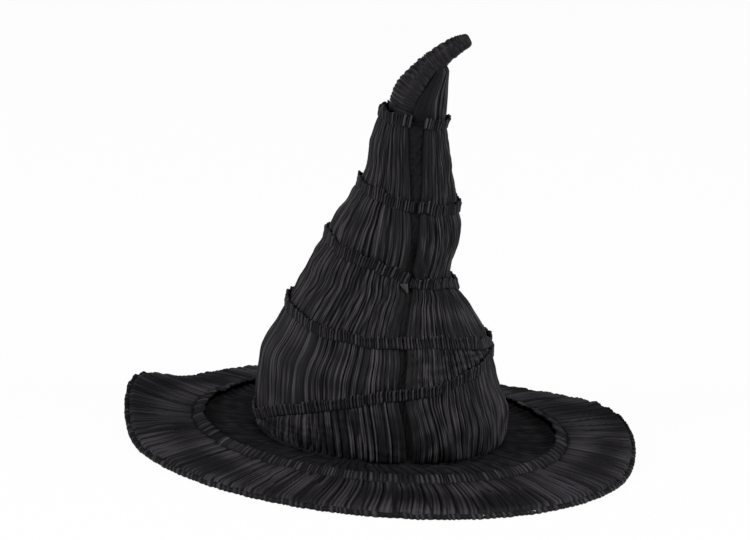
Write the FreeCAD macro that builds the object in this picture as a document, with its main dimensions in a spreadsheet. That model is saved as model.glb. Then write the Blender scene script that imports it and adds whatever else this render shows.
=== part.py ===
"""Witch hat with a crooked crown of five gathered tiers, a bent stuffed tip and a wired pleated brim.

Frame: the origin is the centre of the head opening where the crown meets the brim, +Z is up the
crown, the front seam faces -Y and the tip bends towards +X.  Millimetres throughout.
"""
import FreeCAD, Part
import math
import os

Vector = FreeCAD.Vector
doc = FreeCAD.newDocument("witch_hat")

# ---------------------------------------------------------------- driving dimensions
SIZES = [
    ("head_radius", 90.5, "inside of the sweatband, a 57 cm head"),
    ("sweatband_thick", 1.2, "sweatband tape"),
    ("sweatband_width", 24.0, "height of the sweatband"),
    ("layer_gap", 0.3, "clearance between two layers of cloth"),
    ("form_thick", 2.5, "stiffened crown form"),
    ("cover_thick", 2.5, "pleated cloth of the crown"),
    ("lining_thick", 0.8, "crown lining"),
    ("lining_drop", 30.0, "closed end of the lining below the crown's full height"),
    ("crown_height", 260.0, "from the brim to the root of the tip"),
    ("band_width", 7.0, "ruched band over each tier seam"),
    ("band_thick", 2.5, "how far a ruched band stands out"),
    ("seam_strip_width", 6.0, "flat strip between the two halves of a tier"),
    ("seam_strip_thick", 1.4, "cloth of the flat strip"),
    ("brim_radius", 200.0, "outer edge of the brim"),
    ("brim_form_thick", 2.0, "stiffened brim form"),
    ("underside_thick", 0.8, "smooth cloth under the brim"),
    ("brim_cover_thick", 2.5, "pleated cloth on the brim"),
    ("brim_drop", 7.3, "how far the brim's edge falls below the opening"),
    ("ridge_radius", 138.0, "middle of the raised frill on the brim"),
    ("ridge_thick", 3.0, "raised frill, through its cloth"),
    ("ridge_height", 9.0, "raised frill, top above the opening"),
    ("edge_radius", 2.4, "rolled edge of the brim"),
    ("edge_cloth", 0.9, "cloth of the rolled edge"),
    ("wire_radius", 1.2, "brim wire with its thread wrap"),
    ("left_curl_angle", -112.0, "degrees from the front, towards +X"),
    ("left_curl_rise", 23.5, "upturn at the left and back"),
    ("back_curl_angle", -158.0, "degrees from the front, towards +X"),
    ("back_curl_rise", 1.0, "slight upturn at the back"),
    ("right_curl_angle", 100.0, "degrees from the front, towards +X"),
    ("right_curl_rise", 15.0, "upturn at the right"),
    ("tip_cover_thick", 1.5, "gathered cloth of the tip"),
    ("tip_scale", 1.0, "size of the bent tip"),
    ("tab_size", 5.0, "folded tab beside the front seam"),
    ("tab_thick", 1.6, "folded tab, through its cloth"),
]

# The crown's outline above the sweatband: share of crown_height, then how far the ring's centre
# lies towards +X and the ring's radius, both as shares of the radius at the brim.
OUTLINE = [
    (0.135, -0.026, 0.982),
    (0.192, -0.056, 0.945),
    (0.250, -0.067, 0.918),
    (0.308, -0.056, 0.853),
    (0.385, -0.077, 0.745),
    (0.462, -0.100, 0.617),
    (0.504, -0.113, 0.560),
    (0.540, -0.090, 0.537),
    (0.577, -0.058, 0.521),
    (0.654, 0.005, 0.488),
    (0.731, 0.046, 0.409),
    (0.800, 0.060, 0.352),
    (0.885, 0.051, 0.314),
    (0.954, 0.053, 0.270),
    (1.058, 0.092, 0.221),
]
TAB_RING = 7

# Where each tier ends: its height on the left and on the right, as shares of crown_height.
SEAMS = [
    (0.030, 0.262),
    (0.388, 0.306),
    (0.604, 0.477),
    (0.769, 0.712),
    (0.996, 0.969),
]

# The bent tip, from its root: centre towards +X, centre above the crown's top seam, lean of the
# ring and radius.
TIP = [
    (5.4, -16.0, 0.0, 20.4),
    (5.4, -1.0, 4.0, 19.8),
    (5.0, 12.0, 18.0, 17.6),
    (8.8, 27.0, 34.0, 13.0),
    (23.8, 48.6, 50.0, 8.3),
    (34.7, 57.5, 54.0, 7.0),
    (41.2, 61.4, 58.0, 5.0),
]

# The upright neck under the bend, from its root: centre towards +X, centre above the top seam
# and radius.
NECK = [
    (8.4, -16.0, 22.8),
    (8.4, 0.0, 22.3),
    (11.0, 13.0, 20.2),
    (16.8, 28.0, 13.5),
    (21.5, 40.0, 8.5),
]

sheet = doc.addObject("Spreadsheet::Sheet", "sizes")


def write_cell(row, alias, value, note):
    """One named size in the sheet."""
    sheet.set(f"A{row}", note)
    sheet.set(f"B{row}", str(value))
    sheet.setAlias(f"B{row}", alias)


def write_sheet():
    """All named sizes, then the outline, the seams and the tip."""
    cells = list(SIZES)
    for index, (height, offset, radius) in enumerate(OUTLINE):
        cells.append((f"ring_height_{index}_", height, "crown outline, share of crown_height"))
        cells.append((f"ring_offset_{index}_", offset, "crown outline, share of the radius at the brim"))
        cells.append((f"ring_radius_{index}_", radius, "crown outline, share of the radius at the brim"))
    for index, (left, right) in enumerate(SEAMS, start=1):
        cells.append((f"seam_left_{index}_", left, "seam on the left, share of crown_height"))
        cells.append((f"seam_right_{index}_", right, "seam on the right, share of crown_height"))
    for row, (alias, value, note) in enumerate(cells, start=1):
        write_cell(row, alias, value, note)
    doc.recompute()


write_sheet()

# ---------------------------------------------------------------- sizes worked out from the sheet
FORM_FOOT = "(sizes.head_radius + sizes.sweatband_thick + sizes.layer_gap)"
FORM_OUTSIDE = f"({FORM_FOOT} + sizes.form_thick)"
BRIM_END = f"({FORM_OUTSIDE} + sizes.layer_gap + sizes.cover_thick)"
FORM_INSET = "(sizes.cover_thick + sizes.layer_gap)"
LINING_INSET = f"({FORM_INSET} + sizes.form_thick + sizes.layer_gap)"
BAND_OUTSET = "(sizes.layer_gap + sizes.band_thick)"
UNDER_DROP = "(2 * sizes.layer_gap + sizes.brim_form_thick + sizes.underside_thick)"
REACH = f"(3 * {BRIM_END})"

form_foot = sheet.head_radius + sheet.sweatband_thick + sheet.layer_gap
crown_foot = form_foot + sheet.form_thick + sheet.layer_gap + sheet.cover_thick
under_drop = 2 * sheet.layer_gap + sheet.brim_form_thick + sheet.underside_thick

subparts = []


def finish(shape, name):
    """Names a finished sub-part and keeps it for writing."""
    shape.Label = name
    subparts.append(shape)
    return shape


def bind(thing, **sizes):
    """Ties properties of an object to the sheet; base_x stands for Placement.Base.x and so on."""
    for key, expression in sizes.items():
        path = {
            "base_x": "Placement.Base.x",
            "base_y": "Placement.Base.y",
            "base_z": "Placement.Base.z",
            "turn": "Placement.Rotation.Angle",
        }.get(key, key)
        thing.setExpression(path, expression)
    return thing


def cut(name, base, tool):
    """One solid less another."""
    result = doc.addObject("Part::Cut", name)
    result.Base = base
    result.Tool = tool
    result.Refine = False
    return result


def common(name, base, tool):
    """What two solids share."""
    result = doc.addObject("Part::Common", name)
    result.Base = base
    result.Tool = tool
    result.Refine = False
    return result


# ---------------------------------------------------------------- crown layers
def crown_solid(name, inset):
    """The whole crown, its outline moved inwards by `inset`: upright as far as the sweatband."""
    rings = []
    for index in range(2):
        ring = doc.addObject("Part::Circle", f"{name}_foot_{index}_")
        bind(ring, Radius=f"{BRIM_END} - {inset}", base_z=f"{index} * sizes.sweatband_width")
        rings.append(ring)
    for index in range(len(OUTLINE)):
        ring = doc.addObject("Part::Circle", f"{name}_ring_{index}_")
        bind(
            ring,
            Radius=f"{BRIM_END} * sizes.ring_radius_{index}_ - {inset}",
            base_x=f"{BRIM_END} * sizes.ring_offset_{index}_",
            base_z=f"sizes.crown_height * sizes.ring_height_{index}_",
        )
        rings.append(ring)
    solid = doc.addObject("Part::Loft", name)
    solid.Sections = rings
    solid.Solid = True
    solid.Ruled = True
    return solid


def seam_height(index):
    """Height of a seam on the crown's centre line."""
    return f"(sizes.crown_height * (sizes.seam_left_{index}_ + sizes.seam_right_{index}_) / 2)"


def seam_lean(index):
    """Lean of a seam: positive when its left side is the higher one."""
    rise = f"sizes.crown_height * (sizes.seam_left_{index}_ - sizes.seam_right_{index}_)"
    return f"atan({rise} / (2 * {BRIM_END}))"


def seam_block(name, index, height, sink):
    """A block square to a seam: its lower face lies `sink` below the seam."""
    block = doc.addObject("Part::Box", name)
    block.Placement = FreeCAD.Placement(Vector(), FreeCAD.Rotation(Vector(0, 1, 0), 1))
    lean = seam_lean(index)
    bind(
        block,
        Length=REACH,
        Width=REACH,
        Height=height,
        turn=lean,
        base_x=f"-{REACH} / 2 * cos({lean}) - {sink} * sin({lean})",
        base_y=f"-{REACH} / 2",
        base_z=f"{seam_height(index)} + {REACH} / 2 * sin({lean}) - {sink} * cos({lean})",
    )
    return block


def side_block(name, side, margin):
    """The half of space on one side of the seam strip, `margin` away from its middle."""
    block = doc.addObject("Part::Box", name)
    edge = margin if side == "right" else f"-{margin} - {REACH}"
    bind(
        block,
        Length=REACH,
        Width=REACH,
        Height=f"2 * sizes.crown_height",
        base_x=edge,
        base_y=f"-{REACH} / 2",
        base_z="-sizes.crown_height / 4",
    )
    return block


cover_outside = crown_solid("cover_outside", "0")
form_outside = crown_solid("form_outside", FORM_INSET)
cover_inside = crown_solid("cover_inside", f"({FORM_INSET} - sizes.layer_gap)")
form_inside = crown_solid("form_inside", f"({FORM_INSET} + sizes.form_thick)")
band_inside = crown_solid("band_inside", "(-sizes.layer_gap)")
band_outside = crown_solid("band_outside", f"(-{BAND_OUTSET})")
strip_outside = crown_solid("strip_outside", f"({FORM_INSET} - sizes.layer_gap - sizes.seam_strip_thick)")

above = {
    index: seam_block(f"above_seam_{index}_", index, "2 * sizes.crown_height", "0")
    for index in range(1, len(SEAMS) + 1)
}
sides = {side: side_block(f"{side}_half", side, "sizes.seam_strip_width / 2") for side in ("left", "right")}


def tier(name, outside, inside, index):
    """The part of a layer between the seam below and the seam above."""
    lifted = outside if index == 1 else common(f"{name}_from_seam", outside, above[index - 1])
    return cut(name, cut(f"{name}_to_seam", lifted, above[index]), inside)


def crown_pieces():
    """Form, pleated halves and ruched bands of every tier."""
    for index in range(1, len(SEAMS) + 1):
        form = tier(f"crown_form_{index}_solid", form_outside, form_inside, index)
        finish(form, f"crown_form_{index}")
        cover = tier(f"tier_{index}_whole", cover_outside, cover_inside, index)
        slab = seam_block(f"band_slab_{index}_", index, "sizes.band_width", "sizes.band_width / 2")
        band = cut(f"band_{index}_whole", common(f"band_{index}_disc", band_outside, slab), band_inside)
        for side, half in sides.items():
            finish(common(f"tier_{index}_{side}_solid", cover, half), f"tier_{index}_{side}")
            finish(common(f"seam_band_{index}_{side}_solid", band, half), f"seam_band_{index}_{side}")


def seam_strips():
    """The flat strips that join the two halves of every tier, front and back."""
    width = "(sizes.seam_strip_width - 2 * sizes.layer_gap)"
    closed = cut("strip_shell", cut("strip_below_tip", strip_outside, above[len(SEAMS)]), cover_inside)
    for name, base_y in (("front", f"-{REACH}"), ("back", "0")):
        block = doc.addObject("Part::Box", f"{name}_strip_block")
        bind(
            block,
            Length=width,
            Width=REACH,
            Height="2 * sizes.crown_height",
            base_x=f"-{width} / 2",
            base_y=base_y,
        )
        finish(common(f"{name}_strip_solid", closed, block), f"{name}_seam_strip")


def sweatband():
    """Tape around the inside of the opening, level with the brim's underside."""
    radii = (("outside", "sizes.head_radius + sizes.sweatband_thick"), ("inside", "sizes.head_radius"))
    tubes = []
    for name, radius in radii:
        tube = doc.addObject("Part::Cylinder", f"sweatband_{name}")
        bind(tube, Radius=radius, Height="sizes.sweatband_width", base_z=f"-{UNDER_DROP}")
        tubes.append(tube)
    finish(cut("sweatband_solid", *tubes), "sweatband")


def lining_block(name, foot, top):
    """Everything between two heights."""
    block = doc.addObject("Part::Box", name)
    bind(
        block,
        Length=REACH,
        Width=REACH,
        Height=f"{top} - {foot}",
        base_x=f"-{REACH} / 2",
        base_y=f"-{REACH} / 2",
        base_z=foot,
    )
    return block


def lining():
    """Closed bag of cloth inside the crown, above the sweatband."""
    foot = f"(sizes.sweatband_width - {UNDER_DROP} + sizes.layer_gap)"
    top = "(sizes.crown_height - sizes.lining_drop)"
    inside_top = f"({top} - sizes.lining_thick)"
    outside = crown_solid("lining_outside", LINING_INSET)
    inside = crown_solid("lining_inside", f"({LINING_INSET} + sizes.lining_thick)")
    bag = common("lining_bag", outside, lining_block("lining_reach", foot, top))
    hollow = common("lining_hollow", inside, lining_block("lining_room", "0 * 1", inside_top))
    finish(cut("lining_solid", bag, hollow), "crown_lining")


# ---------------------------------------------------------------- bent tip
TOP_SEAM = seam_height(len(SEAMS))
# The tip and the neck are drawn for a crown foot of this radius, and grow with the real one.
DRAWN_FOOT = 97.3
TIP_SIZE = f"(sizes.tip_scale * {BRIM_END} / {DRAWN_FOOT})"


def tip_solid(name, inset):
    """The bent tip with its rounded end, its outline moved inwards by `inset`."""
    rings = []
    for index, (shift, rise, lean, radius) in enumerate(TIP):
        ring = doc.addObject("Part::Circle", f"{name}_ring_{index}_")
        ring.Placement = FreeCAD.Placement(Vector(), FreeCAD.Rotation(Vector(0, 1, 0), lean))
        bind(
            ring,
            Radius=f"{radius} * {TIP_SIZE} - {inset}",
            base_x=f"{shift} * {TIP_SIZE}",
            base_z=f"{TOP_SEAM} + {rise} * {TIP_SIZE}",
        )
        rings.append(ring)
    body = doc.addObject("Part::Loft", f"{name}_body")
    body.Sections = rings
    body.Solid = True
    shift, rise, lean, radius = TIP[-1]
    end = doc.addObject("Part::Sphere", f"{name}_end")
    bind(
        end,
        Radius=f"{radius} * {TIP_SIZE} - {inset}",
        base_x=f"{shift} * {TIP_SIZE}",
        base_z=f"{TOP_SEAM} + {rise} * {TIP_SIZE}",
    )
    whole = doc.addObject("Part::MultiFuse", name)
    whole.Shapes = [body, end]
    return whole


def neck_solid(name, inset):
    """The upright neck under the bend, its outline moved inwards by `inset`."""
    rings = []
    for index, (shift, rise, radius) in enumerate(NECK):
        ring = doc.addObject("Part::Circle", f"{name}_ring_{index}_")
        bind(
            ring,
            Radius=f"{radius} * {TIP_SIZE} - {inset}",
            base_x=f"{shift} * {TIP_SIZE}",
            base_z=f"{TOP_SEAM} + {rise} * {TIP_SIZE}",
        )
        rings.append(ring)
    solid = doc.addObject("Part::Loft", name)
    solid.Sections = rings
    solid.Solid = True
    return solid


def bent_tip():
    """Gathered tip over its stuffing, and the pleated neck panel that props it up."""
    last = above[len(SEAMS)]
    outside = tip_solid("tip_outside", "0")
    inside = tip_solid("tip_inside", "sizes.tip_cover_thick")
    stuffing = tip_solid("tip_filling", "(sizes.tip_cover_thick + sizes.layer_gap)")
    clear = tip_solid("tip_clear", "(-sizes.layer_gap)")
    finish(common("tip_cover_solid", cut("tip_shell", outside, inside), last), "tip_cover")
    finish(common("tip_stuffing_solid", stuffing, last), "tip_stuffing")
    neck_outside = neck_solid("neck_outside", "0")
    neck_inside = neck_solid("neck_inside", "sizes.cover_thick")
    neck_filling = neck_solid("neck_filling", "(sizes.cover_thick + sizes.layer_gap)")
    neck_shell = cut("neck_shell", neck_outside, neck_inside)
    for name, solid in (("neck_panel", neck_shell), ("neck_padding", neck_filling)):
        upper = common(f"{name}_above", solid, last)
        right_half = common(f"{name}_right", upper, sides["right"])
        finish(cut(f"{name}_solid", right_half, clear), name)


# ---------------------------------------------------------------- brim
WAVE_POINTS = 48
BRIM_STEPS = 5
CURL_WIDTHS = {"left": (34.0, 32.0), "back": (35.0, 35.0), "right": (40.0, 44.0)}


def curl(angle, centre, widths):
    """1 at the middle of an upturn, fading to 0 at its front and back ends."""
    away = (angle - centre + 180.0) % 360.0 - 180.0
    towards_back = away * centre > 0
    width = widths[1] if towards_back else widths[0]
    if abs(away) >= width:
        return 0.0
    return math.cos(math.radians(90.0 * away / width)) ** 2


def brim_height(radius, angle):
    """Height of the brim's middle surface: flat inside the ridge, then falling with its upturns."""
    share = max(0.0, (radius - sheet.ridge_radius) / (sheet.brim_radius - sheet.ridge_radius))
    rise = sheet.left_curl_rise * curl(angle, sheet.left_curl_angle, CURL_WIDTHS["left"])
    rise += sheet.back_curl_rise * curl(angle, sheet.back_curl_angle, CURL_WIDTHS["back"])
    rise += sheet.right_curl_rise * curl(angle, sheet.right_curl_angle, CURL_WIDTHS["right"])
    return -sheet.brim_drop * share + rise * share ** 1.5


def wavy_circle(radius, rise):
    """Control points of a closed smooth curve round the brim, `rise` above the middle surface."""
    step = 2 * math.pi / WAVE_POINTS
    swell = 3.0 / (2.0 + math.cos(step))
    points = []
    for index in range(WAVE_POINTS):
        angle = (index + 0.5) * step
        height = rise + brim_height(radius, math.degrees(angle))
        across = radius * swell
        points.append(Vector(across * math.sin(angle), -across * math.cos(angle), height))
    return points


def ring_face(first, second):
    """The closed strip of surface between two such curves."""
    surface = Part.BSplineSurface()
    poles = [[a, b] for a, b in zip(first, second)]
    around = [1] * (WAVE_POINTS + 1)
    knots = [float(index) for index in range(WAVE_POINTS + 1)]
    surface.buildFromPolesMultsKnots(poles, around, [2, 2], knots, [0.0, 1.0], True, False, 3, 1)
    return surface.toShape()


def wavy_ring(name, profile):
    """A ring that follows the brim: the profile is a closed list of (radius, rise)."""
    curves = [wavy_circle(radius, rise) for radius, rise in profile]
    faces = [ring_face(curve, curves[(index + 1) % len(curves)]) for index, curve in enumerate(curves)]
    skin = Part.Compound(faces)
    skin.sewShape()
    ring = doc.addObject("Part::Feature", f"{name}_solid")
    ring.Shape = Part.Solid(skin.Shells[0])
    ring.Placement = FreeCAD.Placement()
    finish(ring, name)


def layer_profile(inner, outer, bottom, inner_top, outer_top):
    """A layer of cloth along the brim between two radii, bending at the same radii as its neighbours."""
    slope = (sheet.brim_radius - sheet.ridge_radius) / BRIM_STEPS
    bends = [sheet.ridge_radius + slope * step for step in range(BRIM_STEPS)]
    radii = [inner] + [radius for radius in bends if inner < radius < outer] + [outer]
    shares = [(radius - inner) / (outer - inner) for radius in radii]
    upper = [(radius, inner_top + (outer_top - inner_top) * share) for radius, share in zip(radii, shares)]
    lower = [(radius, bottom) for radius in reversed(radii)]
    return upper + lower


def arc_profile(radius, rise, size, start, end, steps):
    """Points on an arc about (radius, rise), angles in degrees from outwards to upwards."""
    points = []
    for step in range(steps + 1):
        angle = math.radians(start + (end - start) * step / steps)
        points.append((radius + size * math.cos(angle), rise + size * math.sin(angle)))
    return points


def brim():
    """Form, cloth layers, raised frill, wire and rolled edge of the brim."""
    gap = sheet.layer_gap
    edge_middle = sheet.brim_radius - sheet.edge_radius
    edge_rise = -gap - sheet.brim_form_thick / 2
    layers_end = edge_middle - sheet.edge_radius - gap
    form_bottom = -gap - sheet.brim_form_thick
    wavy_ring("brim_form", layer_profile(form_foot, layers_end, form_bottom, -gap, -gap))
    under_top = form_bottom - gap
    wavy_ring("brim_underside", layer_profile(form_foot, layers_end, -under_drop, under_top, under_top))
    ridge_inside = sheet.ridge_radius - sheet.ridge_thick / 2
    ridge_outside = ridge_inside + sheet.ridge_thick
    cover = sheet.brim_cover_thick
    wavy_ring("brim_inner_cover", layer_profile(crown_foot + gap, ridge_inside - gap, 0, cover, cover))
    wavy_ring("brim_outer_cover", layer_profile(ridge_outside + gap, layers_end, 0, cover * 1.6, cover))
    wavy_ring("brim_ridge_frill", [
        (ridge_inside, 0),
        (ridge_outside, 0),
        (ridge_outside, sheet.ridge_height),
        (ridge_inside, sheet.ridge_height),
    ])
    wire = arc_profile(edge_middle, edge_rise, sheet.wire_radius, 0, 315, 7)
    wavy_ring("brim_wire", wire)
    outside = arc_profile(edge_middle, edge_rise, sheet.edge_radius, -150, 150, 10)
    inside = arc_profile(edge_middle, edge_rise, sheet.edge_radius - sheet.edge_cloth, 150, -150, 10)
    wavy_ring("brim_edge", outside + inside)


def seam_tab():
    """Small folded corner of cloth beside the front seam, on the band of the third seam."""
    tab = doc.addObject("Part::Prism", "seam_tab_solid")
    tab.Polygon = 3
    tab.Placement = FreeCAD.Placement(Vector(), FreeCAD.Rotation(Vector(1, 0, 0), 90))
    reach = f"({BRIM_END} * sizes.ring_radius_{TAB_RING}_ + {BAND_OUTSET})"
    bind(
        tab,
        Circumradius="sizes.tab_size",
        Height="sizes.tab_thick",
        base_x="-(sizes.seam_strip_width / 2 + sizes.tab_size)",
        base_y=f"-{reach} - sizes.layer_gap",
        base_z=seam_height(3),
    )
    finish(tab, "seam_tab")


sweatband()
lining()
crown_pieces()
seam_strips()
bent_tip()
brim()
seam_tab()
doc.recompute()

# ---------------------------------------------------------------- checks and files
for thing in doc.Objects:
    if "Invalid" in thing.State or "Error" in thing.State:
        raise RuntimeError(f"{thing.Name} did not rebuild: {thing.State}")
for piece in subparts:
    if piece.Shape.isNull() or not piece.Shape.isValid() or not piece.Shape.Solids:
        raise RuntimeError(f"{piece.Label} is not a sound solid")

os.makedirs("parts", exist_ok=True)
for piece in subparts:
    piece.Shape.exportStep(f"parts/{piece.Label}.step")
    print(f"{piece.Label}: {len(piece.Shape.Solids)} solid, {piece.Shape.Volume / 1000:.2f} cm3")
print(len(subparts), "sub-parts")
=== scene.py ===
"""Looks of a black witch hat: gathered pleated tiers on a crooked crown, a bent stuffed tip, and a
wide wired brim with a pleated flounce.  Metres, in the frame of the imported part: the origin is the
centre of the head opening, +Z is up the crown, the front seam faces -Y and the tip bends to +X."""
import math

import bpy
import numpy as np
from mathutils import Matrix, Vector

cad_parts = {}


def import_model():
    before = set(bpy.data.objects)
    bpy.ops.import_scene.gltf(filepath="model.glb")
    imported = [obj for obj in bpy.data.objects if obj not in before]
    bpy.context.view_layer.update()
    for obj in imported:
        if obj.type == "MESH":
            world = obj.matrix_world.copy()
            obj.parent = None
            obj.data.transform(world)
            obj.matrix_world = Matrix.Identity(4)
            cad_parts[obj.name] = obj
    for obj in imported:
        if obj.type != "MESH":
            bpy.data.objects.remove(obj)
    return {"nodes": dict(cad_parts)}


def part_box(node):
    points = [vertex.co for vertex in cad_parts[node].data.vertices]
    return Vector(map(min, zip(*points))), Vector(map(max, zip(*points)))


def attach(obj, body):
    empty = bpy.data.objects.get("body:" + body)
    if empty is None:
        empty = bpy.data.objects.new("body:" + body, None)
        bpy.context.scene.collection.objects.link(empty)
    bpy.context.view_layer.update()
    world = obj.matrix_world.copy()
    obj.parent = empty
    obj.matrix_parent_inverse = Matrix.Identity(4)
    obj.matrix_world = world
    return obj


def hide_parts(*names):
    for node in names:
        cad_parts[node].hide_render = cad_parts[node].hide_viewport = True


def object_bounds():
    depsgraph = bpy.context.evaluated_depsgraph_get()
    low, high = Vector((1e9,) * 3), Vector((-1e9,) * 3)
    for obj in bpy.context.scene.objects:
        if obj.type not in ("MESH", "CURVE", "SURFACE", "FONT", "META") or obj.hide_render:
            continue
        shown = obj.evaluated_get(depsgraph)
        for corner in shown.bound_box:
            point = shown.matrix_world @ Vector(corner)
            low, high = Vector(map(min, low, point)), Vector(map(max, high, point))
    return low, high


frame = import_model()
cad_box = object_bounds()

MM = 0.001
TAU = 2 * math.pi

# ---------------------------------------------------------------- sizes read from the frame
STRIP_SINK = 1.1 * MM
FOOT_RADIUS = -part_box("front_seam_strip")[0][1] + STRIP_SINK
OPENING_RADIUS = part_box("sweatband")[1][0] - 1.2 * MM
BRIM_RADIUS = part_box("brim_edge")[1][0]
RIDGE_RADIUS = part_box("brim_ridge_frill")[1][0] - 1.5 * MM
CROWN_HEIGHT = 260 * MM

# ---------------------------------------------------------------- curves
# The crown's outline: height as a share of CROWN_HEIGHT, centre towards +X and radius as shares
# of the radius at the foot.
OUTLINE = [
    (0.000, 0.004, 0.985),
    (0.045, 0.000, 0.998),
    (0.092, -0.010, 0.998),
    (0.135, -0.028, 0.982),
    (0.192, -0.056, 0.948),
    (0.250, -0.067, 0.918),
    (0.308, -0.056, 0.853),
    (0.385, -0.077, 0.745),
    (0.462, -0.100, 0.617),
    (0.504, -0.113, 0.560),
    (0.577, -0.058, 0.521),
    (0.654, 0.005, 0.488),
    (0.731, 0.046, 0.409),
    (0.800, 0.060, 0.352),
    (0.885, 0.051, 0.314),
    (0.954, 0.053, 0.276),
    (1.058, 0.092, 0.231),
]
# Tier seams: degrees round the crown from the front, towards +X, and height in millimetres.
SEAMS = [
    [(-180, 26), (-140, 11), (-101, 9), (-67, 24), (-38, 40), (-9, 53), (16, 58), (42, 66),
     (70, 72), (100, 70), (140, 48), (180, 26)],
    [(-180, 88), (-130, 97), (-92, 100), (-66, 98), (-36, 93.5), (0, 92.5), (33, 90.5),
     (49, 87), (84, 77), (120, 78), (180, 88)],
    [(-180, 140), (-120, 152), (-87, 157), (-56, 152), (-29, 148), (-4, 143), (16, 136),
     (34, 132.5), (52, 130), (100, 120), (140, 127), (180, 140)],
    [(-180, 193), (-120, 198), (-82, 199.5), (-50, 197), (-22, 193.5), (18, 190.5), (37, 188),
     (69, 186), (110, 185), (150, 188), (180, 193)],
    [(-180, 254), (-106, 256), (-72, 257), (-10, 256), (21, 255), (38, 254), (82, 251),
     (130, 251), (180, 254)],
]
# The front strip's middle: height in millimetres, then degrees round the crown from the front.
STRIP_PATH = [(0, 4), (54, 2), (94, 3), (115, 9), (130, 15), (151, 12), (175, 6), (194, 2),
              (227, 0), (257, -2), (275, -1), (300, 6)]
# The strip's width: height and width, in millimetres.
STRIP_WIDTHS = [(0, 4), (100, 4), (170, 5), (205, 8), (230, 11), (270, 14), (300, 10)]
# The bent tip: centre towards +X, height, lean in degrees and radius, in millimetres and degrees.
TIP = [
    (5.4, 252.0, 3, 19.6),
    (5.0, 262.0, 10, 18.8),
    (4.6, 272.0, 20, 16.6),
    (8.8, 284.0, 34, 12.8),
    (15.4, 294.0, 43, 10.4),
    (23.8, 303.0, 50, 8.9),
    (34.6, 311.9, 56, 7.8),
    (41.0, 315.4, 60, 6.5),
]
# Where the neck panel tucks under the tip: height in millimetres, degrees from the front.
NECK_LAP = [(252, -22), (262, -25), (274, -25), (287, -17), (297, -6)]
# The neck panel: height, centre towards +X and radius, in millimetres.
NECK = [(252, 8.4, 22.2), (262, 9.4, 21.4), (270, 11.2, 19.6), (283.5, 16.8, 13.6), (296, 21.8, 8.6)]


def smooth_curve(points, x):
    """A smooth curve through (x, y) points, never overshooting between two of them."""
    px = np.array([point[0] for point in points], float)
    py = np.array([point[1] for point in points], float)
    slopes = np.diff(py) / np.diff(px)
    tangents = np.zeros(len(px))
    inner = slopes[:-1] * slopes[1:]
    tangents[1:-1] = np.where(inner > 0, 2 * inner / np.where(inner > 0, slopes[:-1] + slopes[1:], 1), 0)
    tangents[0] = slopes[0]
    tangents[-1] = slopes[-1]
    x = np.clip(x, px[0], px[-1])
    i = np.clip(np.searchsorted(px, x, side="right") - 1, 0, len(px) - 2)
    width = px[i + 1] - px[i]
    t = (x - px[i]) / width
    return ((2 * t ** 3 - 3 * t ** 2 + 1) * py[i] + (t ** 3 - 2 * t ** 2 + t) * width * tangents[i]
            + (3 * t ** 2 - 2 * t ** 3) * py[i + 1] + (t ** 3 - t ** 2) * width * tangents[i + 1])


def ease(t):
    """0 below 0, 1 above 1, smooth between."""
    t = np.clip(t, 0, 1)
    return t * t * (3 - 2 * t)


class Waves:
    """Smooth random unevenness over two coordinates, roughly between -1 and 1."""

    def __init__(self, rng, across, along, count=7):
        self.a = rng.normal(0, across, count)
        self.b = rng.normal(0, along, count)
        self.p = rng.uniform(0, TAU, count)
        self.size = 1.4 / math.sqrt(count)

    def __call__(self, x, y):
        total = 0
        for a, b, p in zip(self.a, self.b, self.p):
            total = total + np.sin(TAU * (a * x + b * y) + p)
        return total * self.size


class Folds:
    """A row of uneven folds over 0..1: rounded crests with narrow valleys between them."""

    def __init__(self, rng, count, uneven=0.45, sharp=2.4):
        widths = rng.uniform(1 - uneven, 1 + uneven, count)
        self.edges = np.concatenate([[0], np.cumsum(widths) / widths.sum()])
        self.depth = rng.uniform(0.5, 1.0, count)
        self.lean = rng.uniform(0.7, 1.4, count)
        self.sharp = sharp

    def shape(self, x):
        """Which fold x lies in, and its height there as a share of its crest."""
        x = np.clip(x, 0, 1 - 1e-9)
        i = np.clip(np.searchsorted(self.edges, x, side="right") - 1, 0, len(self.depth) - 1)
        t = (x - self.edges[i]) / (self.edges[i + 1] - self.edges[i])
        t = t ** self.lean[i]
        return i, 1 - np.abs(2 * t - 1) ** self.sharp

    def __call__(self, x):
        i, height = self.shape(x)
        return self.depth[i] * height


class Pleats:
    """Nearly straight folds that wander a little, and here and there merge or part."""

    def __init__(self, rng, count, uneven=0.45, sharp=2.4, wander=0.2, fine=0.3, lines=0.6):
        self.main = Folds(rng, count, uneven, sharp)
        self.other = Folds(rng, count, uneven, sharp)
        self.small = Folds(rng, int(count * 2.4), 0.5, 2.0)
        self.shift = Waves(rng, 2.5, 0.35)
        self.blend = Waves(rng, 8.0, 0.5)
        self.tint = Waves(rng, 20.0, 1.5)
        self.wander = wander / count
        self.fine = fine
        self.lines = lines

    def __call__(self, u, v):
        """Height of the cloth, and its tone: painted shade 0 in a valley to painted highlight 1 on a sharp
        crest.
        """
        u = u + self.wander * self.shift(u, v)
        share = ease((self.blend(u, v) - 0.7) * 1.6)
        crest = self.main(u) * (1 - share) + self.other(u) * share
        broad = self.main.shape(u)[1] * (1 - share) + self.other.shape(u)[1] * share
        small = self.small(u)
        # Tone: painted shade in the valleys and painted highlight lines on the small folds' crests; patch
        # is a random tint.
        patch = 0.85 + 0.15 * self.tint(u, v)
        tone = np.clip(broad * 1.3, 0, 1) ** 0.8 * (1 - self.lines + self.lines * 1.15 * small) * patch
        return (1 - self.fine) * crest + self.fine * small, tone


# ---------------------------------------------------------------- the crown's surface
def outline(column, z):
    """The crown's centre offset (column 1) or radius (column 2) at height z."""
    points = [(row[0] * CROWN_HEIGHT, row[column] * FOOT_RADIUS) for row in OUTLINE]
    return smooth_curve(points, z)


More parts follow.
